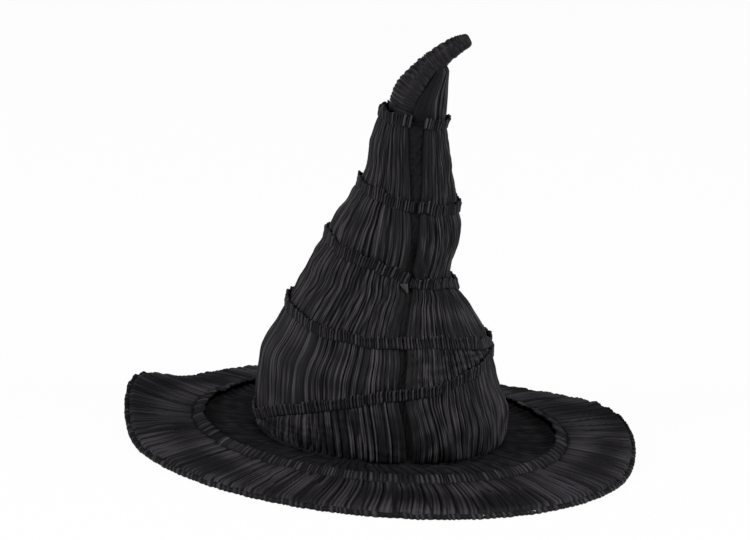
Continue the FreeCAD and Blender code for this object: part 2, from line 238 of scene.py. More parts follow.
def crown_point(phi, z, out):
    """A point `out` from the crown's surface, at angle phi from the front and height z."""
    step = 0.5 * MM
    radius = outline(2, z)
    centre = outline(1, z)
    slope = (outline(2, z + step) - outline(2, z - step)) / (2 * step)
    slope = slope + (outline(1, z + step) - outline(1, z - step)) / (2 * step) * np.sin(phi)
    length = np.sqrt(1 + slope ** 2)
    reach = radius + out / length
    x = centre + reach * np.sin(phi)
    y = -reach * np.cos(phi)
    return np.stack([x, y, z - out * slope / length], axis=-1)


def seam_height(index, phi):
    """Height of tier seam `index`, from 1, round the crown; 0 is the foot."""
    if index == 0:
        return 0 * phi
    return smooth_curve(SEAMS[index - 1], np.degrees(phi)) * MM


def strip_angle(z):
    """Middle of the front strip, in radians."""
    return np.radians(smooth_curve(STRIP_PATH, z / MM))


def half_angles(side, z, share, radius, margin=0.0):
    """Angle round the crown for a share 0..1 of one half, from the front strip to the back strip
    on the right, and the other way on the left."""
    half_strip = smooth_curve(STRIP_WIDTHS, z / MM) * MM / 2 + margin
    front = strip_angle(z)
    edge = half_strip / radius
    if side == "right":
        return front + edge + (math.pi - front - 2 * edge) * share
    return -math.pi + edge + (math.pi + front - 2 * edge) * share


def build(name, points, folds=None, loop_across=False, loop_along=False, nodes=(),
          finish=None, plain=None):
    """A piece from a grid of points[row, column], riding on the hat and standing for `nodes`.

    `plain` is its surface without folds; it is not used."""
    rows, columns = points.shape[:2]
    r = np.arange(rows if loop_along else rows - 1)
    c = np.arange(columns if loop_across else columns - 1)
    r, c = np.meshgrid(r, c, indexing="ij")
    r2 = (r + 1) % rows
    c2 = (c + 1) % columns
    quads = np.stack([r * columns + c, r * columns + c2, r2 * columns + c2, r2 * columns + c], axis=-1)
    quads = quads.reshape(-1, 4)
    mesh = bpy.data.meshes.new(name)
    mesh.vertices.add(rows * columns)
    mesh.vertices.foreach_set("co", points.reshape(-1).astype(np.float32))
    mesh.loops.add(quads.size)
    mesh.loops.foreach_set("vertex_index", quads.reshape(-1).astype(np.int32))
    mesh.polygons.add(len(quads))
    mesh.polygons.foreach_set("loop_start", np.arange(0, quads.size, 4, dtype=np.int32))
    mesh.polygons.foreach_set("use_smooth", np.ones(len(quads), bool))
    # The crest values carry painted shade and painted highlight into the cloth's colour.
    layer = mesh.attributes.new("crest", "FLOAT", "POINT")
    crest = np.full(rows * columns, 0.5) if folds is None else np.clip(folds, 0, 1).reshape(-1)
    layer.data.foreach_set("value", crest.astype(np.float32))
    mesh.update()
    mesh.validate()
    piece = bpy.data.objects.new(name, mesh)
    bpy.context.collection.objects.link(piece)
    if finish is not None:
        mesh.materials.append(finish)
    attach(piece, "root")
    if nodes:
        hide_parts(*nodes)
    return piece


# ---------------------------------------------------------------- finishes
def group_socket(group, name, kind="NodeSocketFloat", default=None, out=False):
    """A named input or output of a node group."""
    socket = group.interface.new_socket(name, in_out="OUTPUT" if out else "INPUT", socket_type=kind)
    if default is not None:
        socket.default_value = default
    return socket


def math_node(tree, operation, first, second=None, third=None):
    """A Math node; numbers are set and sockets are linked."""
    node = tree.nodes.new("ShaderNodeMath")
    node.operation = operation
    for index, value in enumerate((first, second, third)):
        if value is None:
            continue
        if isinstance(value, (int, float)):
            node.inputs[index].default_value = value
        else:
            tree.links.new(value, node.inputs[index])
    return node.outputs[0]


def weave_group():
    """Crossing threads of a plain weave, with slubs: a height and a light-dark shade."""
    group = bpy.data.node_groups.new("plain_weave", "ShaderNodeTree")
    group_socket(group, "Threads per metre", default=1500.0)
    group_socket(group, "Slubs", default=0.4)
    group_socket(group, "Height", out=True)
    group_socket(group, "Shade", out=True)
    nodes, links = group.nodes, group.links
    entry = nodes.new("NodeGroupInput")
    leave = nodes.new("NodeGroupOutput")
    place = nodes.new("ShaderNodeTexCoord")
    scaled = nodes.new("ShaderNodeVectorMath")
    scaled.operation = "SCALE"
    links.new(place.outputs["Object"], scaled.inputs[0])
    links.new(entry.outputs["Threads per metre"], scaled.inputs["Scale"])
    axes = nodes.new("ShaderNodeSeparateXYZ")
    links.new(scaled.outputs[0], axes.inputs[0])
    around = math_node(group, "ADD", axes.outputs["X"], axes.outputs["Y"])
    warp = math_node(group, "SINE", math_node(group, "MULTIPLY", around, math.pi))
    weft = math_node(group, "SINE", math_node(group, "MULTIPLY", axes.outputs["Z"], math.pi))
    threads = math_node(group, "MULTIPLY", warp, weft)
    slub = nodes.new("ShaderNodeTexNoise")
    slub.inputs["Scale"].default_value = 900.0
    slub.inputs["Detail"].default_value = 3.0
    links.new(place.outputs["Object"], slub.inputs["Vector"])
    uneven = math_node(group, "MULTIPLY", slub.outputs[0], entry.outputs["Slubs"])
    half = math_node(group, "MULTIPLY_ADD", threads, 0.3, 0.5)
    links.new(math_node(group, "ADD", half, uneven), leave.inputs["Height"])
    links.new(math_node(group, "MULTIPLY_ADD", threads, 0.12, uneven), leave.inputs["Shade"])
    return group


def lint_group():
    """Specks of pale lint and a faint cloud of dust, as masks."""
    group = bpy.data.node_groups.new("lint_and_dust", "ShaderNodeTree")
    group_socket(group, "Lint", default=0.5)
    group_socket(group, "Dust", default=0.5)
    group_socket(group, "Mask", out=True)
    nodes, links = group.nodes, group.links
    entry = nodes.new("NodeGroupInput")
    leave = nodes.new("NodeGroupOutput")
    place = nodes.new("ShaderNodeTexCoord")
    specks = nodes.new("ShaderNodeTexVoronoi")
    specks.inputs["Scale"].default_value = 260.0
    links.new(place.outputs["Object"], specks.inputs["Vector"])
    near = math_node(group, "LESS_THAN", specks.outputs["Distance"], 0.07)
    lint = math_node(group, "MULTIPLY", near, entry.outputs["Lint"])
    cloud = nodes.new("ShaderNodeTexNoise")
    cloud.inputs["Scale"].default_value = 22.0
    cloud.inputs["Detail"].default_value = 5.0
    links.new(place.outputs["Object"], cloud.inputs["Vector"])
    patch = math_node(group, "SUBTRACT", cloud.outputs[0], 0.42)
    dust = math_node(group, "MULTIPLY", math_node(group, "MAXIMUM", patch, 0.0), entry.outputs["Dust"])
    links.new(math_node(group, "ADD", lint, dust), leave.inputs["Mask"])
    return group


def crest_group():
    """Painted shade in the valleys and a painted highlight on the crests of folded cloth; the weave's
    shade and lint specks also mix into the highlight colour.
    """
    group = bpy.data.node_groups.new("painted_fold_shade_and_highlight", "ShaderNodeTree")
    group_socket(group, "Cloth", "NodeSocketColor")
    group_socket(group, "Valley", "NodeSocketColor")
    group_socket(group, "Highlight and lint", "NodeSocketColor")
    group_socket(group, "Highlight", default=0.5)
    group_socket(group, "Shade", default=0.0)
    group_socket(group, "Specks", default=0.0)
    group_socket(group, "Color", "NodeSocketColor", out=True)
    nodes, links = group.nodes, group.links
    entry = nodes.new("NodeGroupInput")
    leave = nodes.new("NodeGroupOutput")
    crest = nodes.new("ShaderNodeAttribute")
    crest.attribute_name = "crest"
    # Painted shade: towards the valley colour where the crest values are low.
    depth = nodes.new("ShaderNodeMapRange")
    depth.inputs["From Min"].default_value = 0.05
    depth.inputs["From Max"].default_value = 0.55
    links.new(crest.outputs["Fac"], depth.inputs["Value"])
    body = nodes.new("ShaderNodeMix")
    body.data_type = "RGBA"
    links.new(depth.outputs[0], body.inputs["Factor"])
    links.new(entry.outputs["Valley"], body.inputs["A"])
    links.new(entry.outputs["Cloth"], body.inputs["B"])
    # Painted highlight: towards the crest highlight colour where the crest values are high; the weave's
    # shade and the lint specks join the same mix.
    top = nodes.new("ShaderNodeMapRange")
    top.inputs["From Min"].default_value = 0.55
    top.inputs["From Max"].default_value = 1.0
    links.new(crest.outputs["Fac"], top.inputs["Value"])
    highlight_mix = math_node(group, "MULTIPLY", top.outputs[0], entry.outputs["Highlight"])
    highlight_mix = math_node(group, "ADD", highlight_mix, math_node(group, "MULTIPLY", entry.outputs["Shade"], 0.25))
    highlight_mix = math_node(group, "MINIMUM", math_node(group, "ADD", highlight_mix, entry.outputs["Specks"]), 1.0)
    highlighted = nodes.new("ShaderNodeMix")
    highlighted.data_type = "RGBA"
    links.new(highlight_mix, highlighted.inputs["Factor"])
    links.new(body.outputs["Result"], highlighted.inputs["A"])
    links.new(entry.outputs["Highlight and lint"], highlighted.inputs["B"])
    links.new(highlighted.outputs["Result"], leave.inputs["Color"])
    return group


WEAVE = weave_group()
LINT = lint_group()
CRESTS = crest_group()


def black(level, violet=0.12):
    """A near-black cloth colour with a slight violet cast."""
    return (level * (1 + violet * 0.4), level * (1 - violet * 0.5), level * (1 + violet), 1)


def cloth(name, level, valley, highlight_and_lint_level, highlight_mix=0.5, rough=0.62, threads=1500.0, bump=0.5,
          sheen=0.02, specular=0.07, lint=0.1, dust=0.08):
    """A matte woven cloth: the weave in its bump, painted shade in fold valleys, a painted highlight on
    fold crests, lint.
    """
    material = bpy.data.materials.new(name)
    material.use_nodes = True
    tree = material.node_tree
    shader = tree.nodes["Principled BSDF"]
    shader.inputs["Sheen Weight"].default_value = sheen
    shader.inputs["Sheen Roughness"].default_value = 0.4
    shader.inputs["Sheen Tint"].default_value = black(0.3)
    shader.inputs["Specular IOR Level"].default_value = specular
    weave = tree.nodes.new("ShaderNodeGroup")
    weave.node_tree = WEAVE
    weave.inputs["Threads per metre"].default_value = threads
    specks = tree.nodes.new("ShaderNodeGroup")
    specks.node_tree = LINT
    specks.inputs["Lint"].default_value = lint
    specks.inputs["Dust"].default_value = dust
    crests = tree.nodes.new("ShaderNodeGroup")
    crests.node_tree = CRESTS
    # Body colour, a painted shade for fold valleys, and a painted highlight for fold crests that the lint
    # specks share.
    crests.inputs["Cloth"].default_value = black(level)
    crests.inputs["Valley"].default_value = black(valley)
    crests.inputs["Highlight and lint"].default_value = black(highlight_and_lint_level, 0.08)
    crests.inputs["Highlight"].default_value = highlight_mix
    tree.links.new(weave.outputs["Shade"], crests.inputs["Shade"])
    tree.links.new(specks.outputs["Mask"], crests.inputs["Specks"])
    tree.links.new(crests.outputs["Color"], shader.inputs["Base Color"])
    roughness = tree.nodes.new("ShaderNodeMapRange")
    roughness.inputs["To Min"].default_value = rough - 0.06
    roughness.inputs["To Max"].default_value = rough + 0.1
    tree.links.new(weave.outputs["Shade"], roughness.inputs["Value"])
    tree.links.new(roughness.outputs[0], shader.inputs["Roughness"])
    relief = tree.nodes.new("ShaderNodeBump")
    relief.inputs["Strength"].default_value = bump
    relief.inputs["Distance"].default_value = 0.12 * MM
    tree.links.new(weave.outputs["Height"], relief.inputs["Height"])
    tree.links.new(relief.outputs[0], shader.inputs["Normal"])
    return material


# Each cloth: its body colour, a painted shade for fold valleys and a painted highlight for fold crests.
PLEATED = cloth("pleated_black_cloth", 0.005, 0.0002, 0.062, highlight_mix=0.75, rough=0.58)
FLOUNCE = cloth("flounce_black_cloth", 0.0055, 0.0002, 0.052, highlight_mix=0.7, rough=0.58)
# The ring's cloth, with a much weaker highlight than the flounce's, is a shaded copy: painted shade for
# the sunken ring.
RING = cloth("ring_black_cloth", 0.0052, 0.0004, 0.026, highlight_mix=0.5)
RUCHED = cloth("ruched_black_cloth", 0.005, 0.0003, 0.058, highlight_mix=0.7, rough=0.62)
# The flat strips' darker body and faint highlight are painted shade for the sunken strips.
FLAT = cloth("flat_black_cloth", 0.0042, 0.0018, 0.012, highlight_mix=0.2, rough=0.75)
GATHERED = cloth("gathered_black_cloth", 0.009, 0.0006, 0.06, highlight_mix=0.65, rough=0.5)
LINING = cloth("lining_black_cloth", 0.01, 0.005, 0.02, highlight_mix=0.2, rough=0.45, threads=2600.0, bump=0.25)
TAPE = cloth("sweatband_black_tape", 0.01, 0.004, 0.022, highlight_mix=0.3, rough=0.7, threads=1100.0, bump=0.8)
STIFFENER = cloth("stiffened_black_cloth", 0.012, 0.008, 0.03, highlight_mix=0.2, rough=0.9, threads=900.0, bump=0.9)


def spring_steel():
    """Dull drawn steel for the wire in the brim's edge."""
    wire = bpy.data.materials.new("dull_spring_wire")
    wire.use_nodes = True
    shader = wire.node_tree.nodes["Principled BSDF"]
    shader.inputs["Metallic"].default_value = 1.0
    grain = wire.node_tree.nodes.new("ShaderNodeTexNoise")
    grain.inputs["Scale"].default_value = 700.0
    tone = wire.node_tree.nodes.new("ShaderNodeMapRange")
    tone.inputs["To Min"].default_value = 0.35
    tone.inputs["To Max"].default_value = 0.6
    wire.node_tree.links.new(grain.outputs[0], tone.inputs["Value"])
    wire.node_tree.links.new(tone.outputs[0], shader.inputs["Roughness"])
    ramp = wire.node_tree.nodes.new("ShaderNodeValToRGB")
    ramp.color_ramp.elements[0].color = (0.16, 0.16, 0.17, 1)
    ramp.color_ramp.elements[1].color = (0.34, 0.34, 0.35, 1)
    wire.node_tree.links.new(grain.outputs[0], ramp.inputs[0])
    wire.node_tree.links.new(ramp.outputs[0], shader.inputs["Base Color"])
    return wire


WIRE = spring_steel()


def inner_finishes():
    """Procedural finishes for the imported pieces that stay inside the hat."""
    fibre = cloth("white_stuffing_fibre", 0.62, 0.5, 0.8, highlight_mix=0.3, rough=0.95, threads=400.0, bump=1.0)
    inside = {"crown_form": STIFFENER, "brim_form": STIFFENER,
              "tip_stuffing": fibre, "neck_padding": fibre}
    for node, thing in frame["nodes"].items():
        for start, finish in inside.items():
            if node.startswith(start):
                for held in thing.material_slots:
                    held.material = finish


inner_finishes()


# ---------------------------------------------------------------- crown tiers
TIERS = [
    # folds in each half, depth in millimetres, rows, unevenness
    (64, 3.0, 30, 0.5),
    (62, 3.1, 36, 0.5),
    (52, 2.9, 32, 0.5),
    (29, 3.4, 32, 0.55),
    (38, 2.1, 32, 0.5),
]
COLUMNS_PER_FOLD = 11


def tier(index, side):
    """One half of a pleated tier, from the seam below it to the seam above it."""
    count, depth, rows, uneven = TIERS[index - 1]
    rng = np.random.default_rng(100 + 10 * index + (side == "right"))
    columns = count * COLUMNS_PER_FOLD
    share = np.linspace(0, 1, columns)[None, :]
    level = np.linspace(0, 1, rows)[:, None]
    phi = 0 * share * level
    for _ in range(3):
        low = seam_height(index - 1, phi)
        high = seam_height(index, phi)
        z = low + (high - low) * level + (0.6 * MM if index == 1 else -1.5 * MM) * (1 - level)
        phi = half_angles(side, z, share, outline(2, z))
    tall = high - low
    from_front = share if side == "right" else 1 - share
    pleats = Pleats(rng, count, uneven)
    crest, tone = pleats(share + 0 * level, level + 0 * share)
    ripple = Waves(rng, count * 0.5, 3.0)(share, level)
    calm = 0.3 + 0.7 * ease(from_front * math.pi * outline(2, z) / (15 * MM))
    above_seam = ease(level * tall / (3.5 * MM))
    below_seam = ease((1 - level) * tall / (6 * MM))
    swell = np.sin(math.pi * np.clip(level, 0, 1)) ** 0.7 * 0.9 * MM
    swell = swell + Waves(rng, 3.0, 1.2)(share, level) * 0.5 * MM
    amount = depth * MM * calm * (0.75 + 0.25 * above_seam) * (0.8 + 0.2 * below_seam)
    out = -0.9 * MM + amount * (crest - 0.45) + swell * above_seam + 0.22 * MM * ripple
    out = out - (1 - above_seam) * 1.8 * MM
    # the cloth turns in at the strips
    girth = math.pi * outline(2, z)
    turn = np.minimum(share, 1 - share) * girth / (1.6 * MM)
    out = out - (1 - ease(turn)) * 3.0 * MM
    points = crown_point(phi, z, out)
    # Painted shade: darker in pleat valleys, where the cloth turns in at the strips, where the pleats calm
    # beside them, and a painted shadow just above the seam under the band.
    shade = tone * (0.35 + 0.65 * ease(turn)) * (0.45 + 0.55 * calm) * (0.5 + 0.5 * above_seam)
    build(f"tier_{index}_{side}_pleats", points, shade, nodes=[f"tier_{index}_{side}"], finish=PLEATED,
          plain=crown_point(phi, z, 0 * phi))


BAND_PROFILE = [
    # along the cloth and out from it, in millimetres, clockwise from the stitched lower edge
    (-4.0, 0.6),
    (-3.2, 1.2),
    (-1.8, 1.7),
    (-0.2, 2.0),
    (1.4, 2.3),
    (2.8, 2.7),
    (4.0, 2.9),
    (4.6, 2.3),
    (4.2, 1.5),
    (2.6, 1.0),
    (0.4, 0.6),
    (-2.0, 0.1),
    (-3.4, -0.4),
]


def seam_band(index, side):
    """The ruched heading that stands over a tier seam, frilled along its free upper edge."""
    rng = np.random.default_rng(300 + 10 * index + (side == "right"))
    count = (120, 112, 80, 58, 34)[index - 1]
    share = np.linspace(0, 1, count * 8)[None, :]
    profile = np.array(BAND_PROFILE)
    along = profile[:, 0][:, None] * MM
    proud = profile[:, 1][:, None] * MM
    phi = 0 * share
    for _ in range(3):
        z = seam_height(index, phi)
        phi = half_angles(side, z, share, outline(2, z), -1.8 * MM)
    crest = Folds(rng, count, 0.5, 2.0)(share + 0.0006 * np.sin(along / MM))
    coarse = Folds(rng, count // 4, 0.6, 2.0)(share)
    tips = Folds(rng, int(count * 0.6), 0.6, 1.6)(share)
    free = ease((along / MM + 1.0) / 4.5)
    sway = Waves(rng, count * 0.09, 0.0)(share, 0)
    girth = math.pi * outline(2, z)
    taper = 0.3 + 0.7 * ease(np.minimum(share, 1 - share) * girth / (2.2 * MM))
    outer = ease((proud / MM) / 1.2)
    out = proud + outer * (1.5 * MM * (crest - 0.45) + 0.7 * MM * (coarse - 0.3))
    out = out + free * (0.6 * MM * sway + 1.2 * MM * (crest - 0.45))
    lift = along + free * (2.0 * MM * (tips - 0.45) + 0.7 * MM * (crest - 0.5) + 0.5 * MM * sway)
    wave = 0.6 * MM * Waves(rng, 5.0, 0.0)(share, 0)
    step = 0.5 * MM
    slope = (outline(2, z + step) - outline(2, z - step)) / (2 * step)
    height = z + (lift + wave) / np.sqrt(1 + slope ** 2)
    points = crown_point(phi + 0 * along, height, -0.4 * MM + out * taper)
    plain = crown_point(phi + 0 * along, z + along, proud + 0 * phi)
    # Painted shade: the crest values fall where the band lies close to the tier, on its stitched lower
    # edge and its back face.
    build(f"seam_band_{index}_{side}_ruche", points[::-1], (crest * (0.3 + 0.7 * outer))[::-1],
          nodes=[f"seam_band_{index}_{side}"], finish=RUCHED,
          plain=plain[::-1])


def seam_strip(place):
    """The flat strip between two tier halves, a little puckered, sunk under the pleats."""
    rng = np.random.default_rng(17 if place == "front" else 18)
    rows, columns = 170, 16
    top = seam_height(5, np.array(0.0)) - 2 * MM
    z = np.linspace(0.5 * MM, top, rows)[:, None]
    across = np.linspace(-1, 1, columns)[None, :]
    width = smooth_curve(STRIP_WIDTHS, z / MM) * MM + 3 * MM
    if place == "front":
        middle = strip_angle(z)
    else:
        middle = math.pi + 0 * z
    phi = middle + across * width / 2 / outline(2, z)
    pucker = Waves(rng, 0.6, 30.0)(across, z / CROWN_HEIGHT)
    groove = -0.5 * MM * np.exp(-(across / 0.12) ** 2)
    out = -2.2 * MM + 0.25 * MM * pucker + groove
    points = crown_point(phi, z + 0 * across, out + 0 * phi)
    # Painted shade and highlight: the crest values follow the puckers.
    build(f"{place}_seam_strip_cloth", points, 0.45 + 0.3 * pucker + 0 * across,
          nodes=[f"{place}_seam_strip"], finish=FLAT)


def seam_tab():
    """Small folded corner of cloth at the end of the third band, beside the front strip."""
    size = 7.5 * MM
    rows, columns = 14, 14
    a = np.linspace(0, 1, columns)[None, :]
    b = np.linspace(0, 1, rows)[:, None]
    z = seam_height(3, np.array(0.2)) - 2.5 * MM - size * b
    angle = strip_angle(z) - (1.5 * MM + size * (1 - b) * 0.9 * (1 - a)) / outline(2, z)
    curl = 1.2 * MM * np.sin(math.pi * a) * (1 - b) + 0.9 * MM
    front = crown_point(angle, z + 0 * a, 0.5 * MM + curl + 0.5 * MM)
    back = crown_point(angle, z + 0 * a, 0.5 * MM + curl * 0.4 - 0.6 * MM)
    points = np.concatenate([front, back[::-1]], axis=0)
    # Painted highlight: the whole tab is given a high crest value.
    crest = np.full(points.shape[:2], 0.9)
    build("seam_tab_cloth", points, crest, loop_along=True, nodes=["seam_tab"],
          finish=RUCHED)


# ---------------------------------------------------------------- bent tip and neck
def tip_line(column, t):
    """A column of TIP at t, from 0 at the root to 1 at the end; millimetres and degrees."""
    spread = np.linspace(0, 1, len(TIP))
    return smooth_curve([(s, row[column]) for s, row in zip(spread, TIP)], t)


def tip_cover():
    """The tip's cloth, gathered crosswise on its upper side and drawn smooth underneath."""
    rng = np.random.default_rng(51)
    rows, columns = 330, 150
    t = np.linspace(0, 1, rows)[:, None]
    phi = np.linspace(-math.pi, math.pi, columns, endpoint=False)[None, :]
    outer_side = 0.5 - 0.5 * np.sin(phi + 0.15)
    skew = 0.035 * np.cos(phi) * (1 - t) + 0.012 * np.sin(2 * phi)
    break_up = Waves(rng, 0.5, 4.0)(phi / TAU * 2, t)
    gather = Folds(rng, 27, 0.5, 2.0)
    other = Folds(rng, 31, 0.5, 2.0)
    fine = Folds(rng, 74, 0.5, 2.0)
    along = np.clip(t + skew + 0.006 * break_up, 0, 1)
    mix = ease(0.5 + 0.8 * Waves(rng, 1.0, 3.0)(np.sin(phi), t))
    crest = 0.72 * (gather(along) * (1 - mix) + other(along) * mix) + 0.28 * fine(along)
    strength = 0.12 + 0.88 * outer_side ** 1.3
    bulk = (1.9 - 0.7 * t) * MM
    radius = tip_line(3, t) * MM
    out = bulk * strength * (crest - 0.35) + 0.25 * MM * Waves(rng, 1.0, 9.0)(phi / TAU, t)
    lean = np.radians(tip_line(2, t))
    cx = tip_line(0, t) * MM
    cz = tip_line(1, t) * MM
    reach = radius - 0.6 * MM + out
    side = reach * np.sin(phi)
    x = cx + side * np.cos(lean)
    y = -reach * np.cos(phi)
    z = cz - side * np.sin(lean)
    points = np.stack([x, y + 0 * z, z], axis=-1)
    # the rounded end, a little flattened
    end_rows = 14
    close = np.linspace(0, 1, end_rows + 1)[1:, None] * math.pi / 2
    end_lean = math.radians(TIP[-1][2])
    end_reach = reach[-1][None, :] * (np.cos(close) ** 0.5)
    forward = np.sin(close) * 5.0 * MM
    side = end_reach * np.sin(phi)
    cap = np.stack([
        cx[-1] + side * math.cos(end_lean) + forward * math.sin(end_lean),
        -end_reach * np.cos(phi) + 0 * forward,
        cz[-1] - side * math.sin(end_lean) + forward * math.cos(end_lean),
    ], axis=-1)
    whole = np.concatenate([points, cap], axis=0)
    # Painted shade in the gathers' valleys, painted highlight on their crests, and a flat, darker painted
    # shade on the smooth underside.
    crest = np.concatenate([crest * strength + 0.3 * (1 - strength), np.full((end_rows, columns), 0.55)])
    piece = build("tip_gathers", whole, crest, loop_across=True, nodes=["tip_cover"],
                  finish=GATHERED)


def neck_panel():
    """The pleated half-cone that props up the bend, its folds drawn together under the tip."""
    rng = np.random.default_rng(61)
    rows, count = 46, 17
    columns = count * 14
    share = np.linspace(0, 1, columns)[None, :]
    level = np.linspace(0, 1, rows)[:, None]
    z = (252 + 44.5 * level) * MM
    radius = smooth_curve([(row[0], row[2]) for row in NECK], z / MM) * MM
    centre = smooth_curve([(row[0], row[1]) for row in NECK], z / MM) * MM
    lap = np.radians(smooth_curve(NECK_LAP, z / MM))
    phi = lap + (math.pi - 2 * lap) * share
    crest, tone = Pleats(rng, count, 0.5, 2.2)(share + 0 * level, level + 0 * share)
    fade = 0.1 + 0.9 * ease((np.degrees(phi) - 4) / 16)
    turn = ease(np.minimum(share, 1 - share) * 30)
    out = 1.9 * MM * (crest - 0.45) * fade - (1 - turn) * 2.5 * MM
    kink = ease((level - 0.9) / 0.1)
    reach = radius + out - 2.0 * MM * kink
    points = np.stack([centre + reach * np.sin(phi), -reach * np.cos(phi), z + 0 * phi], axis=-1)
    plain = np.stack([centre + radius * np.sin(phi), -radius * np.cos(phi), z + 0 * phi], axis=-1)
    # Painted shade: darker in the valleys, where the panel turns in at its edges, and towards the lap
    # under the tip; painted highlight on the crests.
    build("neck_panel_pleats", points, tone * turn * (0.3 + 0.7 * fade), nodes=["neck_panel"],
          finish=PLEATED, plain=plain)


# ---------------------------------------------------------------- brim
CURLS = [
    # middle in degrees from the front, reach towards the front and the back, rise in millimetres
    (-112.0, 34.0, 32.0, 23.5),
    (-158.0, 35.0, 35.0, 1.0),
    (100.0, 40.0, 44.0, 15.0),
]
BRIM_DROP = 7.3 * MM
# The rolled edge's middle, in from the brim's end and below its surface, and the wire inside it.
EDGE_INSET = 2.4 * MM
EDGE_DROP = 1.3 * MM
WIRE_RADIUS = 1.2 * MM


def brim_height(radius, phi):
    """Height of the brim's middle surface."""
    share = np.clip((radius - RIDGE_RADIUS) / (BRIM_RADIUS - RIDGE_RADIUS), 0, 1.1)
    degrees = np.degrees(phi)
    rise = 0 * degrees
    for centre, forward, backward, height in CURLS:
        away = (degrees - centre + 180) % 360 - 180
        width = np.where(away * centre > 0, backward, forward)
        bump = np.cos(np.radians(90 * np.clip(away / width, -1, 1))) ** 2
        rise = rise + height * MM * bump
    return -BRIM_DROP * share + rise * share ** 1.5


def brim_point(phi, radius, up):
    """A point `up` above the brim's middle surface."""
    z = brim_height(radius, phi) + up
    return np.stack([radius * np.sin(phi), -radius * np.cos(phi), z], axis=-1)


def round_angles(columns):
    """Angles all the way round, for a closed ring."""
    return np.linspace(-math.pi, math.pi, columns, endpoint=False)[None, :]


def brim_flounce():
    """The wide pleated flounce from the raised frill to the hem."""
    rng = np.random.default_rng(71)
    count, rows = 150, 46
    phi = round_angles(count * 10)
    share = (phi + math.pi) / TAU
    level = np.linspace(1, 0, rows)[:, None]
    inner = RIDGE_RADIUS + 0.8 * MM
    outer = BRIM_RADIUS - 2.2 * MM
    radius = inner + (outer - inner) * level
    near_hem = ease((level - 0.6) / 0.4)
    pleats = Pleats(rng, count, 0.6, 4.5, wander=0.3, fine=0.22, lines=0.45)
    crest, tone = pleats(share + 0 * level, level + 0 * share)
    deep = Folds(rng, 58, 0.6, 3.5)(share + 0.0008 * Waves(rng, 8.0, 0.4)(share, level))
    puff = np.sin(math.pi * np.clip(level * 0.9 + 0.1, 0, 1)) ** 0.8
    depth = (2.7 + 1.3 * puff) * MM * (1 - 0.3 * near_hem)
    out = 2.2 * MM + 1.6 * MM * puff * (1 - level) ** 0.3 + depth * (crest - 0.5)
    out = out + 1.5 * MM * (deep - 0.45) * (0.4 + 0.6 * puff)
    out = out - 2.2 * MM * ease((0.16 - level) / 0.1)
    tuck = ease((level - 0.93) / 0.07)
    out = out * (1 - tuck) - 0.6 * MM * tuck
    points = brim_point(phi + 0 * level, radius + 0 * phi, out)
    # Painted shade in the pleats' and deep folds' valleys, and a painted shadow along the inner edge
    # beside the frill; painted highlight on the crests.
    shade = tone * (0.4 + 0.6 * ease(deep * 3)) * (0.35 + 0.65 * ease((level - 0.08) / 0.1))
    build("brim_flounce", points, shade, loop_across=True, nodes=["brim_outer_cover"], finish=FLOUNCE,
          plain=brim_point(phi + 0 * level, radius + 0 * phi, 0 * level))


def brim_inner_ring():
    """The sunken ring of fine radial pleats between the crown and the raised frill."""
    rng = np.random.default_rng(72)
    count, rows = 112, 22
    phi = round_angles(count * 9)
    share = (phi + math.pi) / TAU
    level = np.linspace(1, 0, rows)[:, None]
    inner = FOOT_RADIUS - 2.6 * MM
    outer = RIDGE_RADIUS - 0.6 * MM
    radius = inner + (outer - inner) * level
    crest, tone = Pleats(rng, count, 0.5, 2.2, wander=0.4)(share + 0 * level, level + 0 * share)
    out = 1.3 * MM + 2.2 * MM * (crest - 0.4) + 0.3 * MM * Waves(rng, 14.0, 2.0)(share, level)
    out = out + 1.6 * MM * ease((level - 0.8) / 0.2) - 0.8 * MM * ease((0.1 - level) / 0.1)
    points = brim_point(phi + 0 * level, radius + 0 * phi, out)
    # Painted shade in the valleys and painted highlight on the crests, through the tone.
    build("brim_inner_ring", points, tone, loop_across=True, nodes=["brim_inner_cover"], finish=RING,
          plain=brim_point(phi + 0 * level, radius + 0 * phi, 0 * level))


def brim_frill():
    """The raised, ruched frill that stands round the inner ring."""
    rng = np.random.default_rng(73)
    count = 280
    phi = round_angles(count * 7)
    share = (phi + math.pi) / TAU
    profile = np.array([
        (9.0, 2.6), (7.6, 4.0), (5.8, 5.0), (4.2, 5.7), (2.8, 6.3), (1.2, 6.8), (-0.4, 6.8), (-1.0, 6.2),
        (-0.4, 5.8), (0.8, 4.4), (1.4, 3.0), (0.6, 1.2), (2.6, 0.6), (6.0, 1.4),
    ]) * MM
    across = profile[:, 0][:, None]
    up = profile[:, 1][:, None]
    crest = Folds(rng, count, 0.55, 2.0)(share)
    coarse = Folds(rng, 66, 0.6, 1.8)(share)
    tips = Folds(rng, 170, 0.6, 1.6)(share)
    tall = ease(up / (7 * MM))
    face = np.where(np.arange(len(profile)) < 7, 1.0, 0.0)[:, None]
    sway = Waves(rng, 22.0, 0.0)(share, 0)
    puff = (1.3 * MM * (crest - 0.45) + 0.9 * MM * (coarse - 0.4)) * (0.45 + 0.55 * tall)
    radius = RIDGE_RADIUS + across + puff * (face * 1.4 - 0.4) + 0.9 * MM * sway * tall
    height = up + tall * (1.4 * MM * (tips - 0.45) + 0.7 * MM * (crest - 0.5) + 0.4 * MM * sway)
    points = brim_point(phi + 0 * up, radius, height)
    # Painted shade: darker on the frill's inner face, and a painted shadow line where its outer edge meets
    # the flounce.
    edge = ease((9.4 * MM - across) / (2.2 * MM))
    build("brim_frill", points, crest * (0.65 + 0.35 * face) * edge + 0 * up, loop_across=True,
          nodes=["brim_ridge_frill"], finish=RUCHED,
          plain=brim_point(phi + 0 * up, RIDGE_RADIUS + across + 0 * phi, up))


